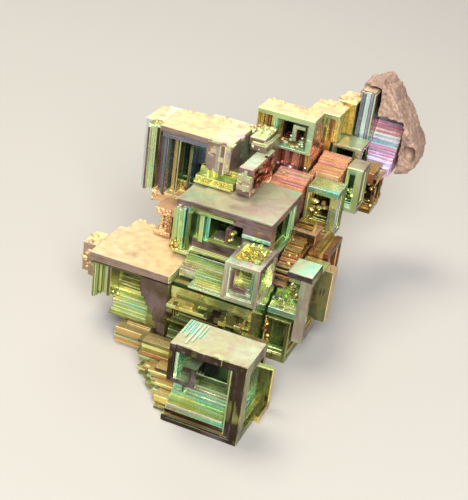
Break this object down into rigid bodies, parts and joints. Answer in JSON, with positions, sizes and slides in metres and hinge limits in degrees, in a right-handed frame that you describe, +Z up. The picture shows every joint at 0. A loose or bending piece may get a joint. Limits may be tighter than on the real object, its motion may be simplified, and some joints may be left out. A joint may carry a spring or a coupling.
{
  "type": "bismuth hopper crystal cluster",
  "caption": "Cluster of stepped, hollow-faced bismuth crystals with an iridescent oxide skin and a melt crust at the far end.",
  "frame": {"origin": "middle of the specimen's overall box, on the surface that it rests on", "axes": "+Z up from the surface; +Y from the front crystal to the melt crust, the long way; +X to the right seen from the front crystal. The crystals' own faces lie along these axes"},
  "size_m": [0.0528, 0.089, 0.045],
  "materials": {
    "olive_film": "satin metal under an olive and green oxide film",
    "sand_film": "satin metal with a dull cream oxide skin",
    "mauve_film": "satin metal under a mauve grey oxide film",
    "teal_film": "glossy metal under a green and teal oxide film",
    "gold_film": "glossy metal under a golden yellow oxide film",
    "copper_film": "glossy metal under a copper red oxide film",
    "slate_film": "glossy metal under a slate blue oxide film",
    "rose_film": "glossy metal under a rose and lavender oxide film",
    "dull_crust": "dull, pitted pinkish tan skin"
  },
  "bodies": {
    "root": {"front_hopper": "teal_film", "left_hopper": "sand_film", "left_knob": "sand_film", "lower_terraces": "olive_film", "heart_hopper": "olive_film", "step_hopper": "teal_film", "centre_hopper": "mauve_film", "copper_stair": "copper_film", "right_hopper": "teal_film", "lower_right_hopper": "olive_film", "edge_slabs": "copper_film", "middle_right_hopper": "teal_film", "narrow_hopper": "mauve_film", "brown_hopper": "gold_film", "pillar": "copper_film", "upper_hopper": "slate_film", "floor_block": "gold_film", "fin_crystal": "mauve_film", "saddle_crystal": "sand_film", "back_hopper": "slate_film", "summit_hopper": "gold_film", "rib_column": "copper_film", "rose_floor": "rose_film", "ridge_hopper": "gold_film", "spur_hopper": "gold_film", "shelf_hopper": "teal_film", "end_hopper": "rose_film", "melt_crust": "dull_crust", "rear_foot": "olive_film", "rear_column": "gold_film"}
  },
  "joints": []
}
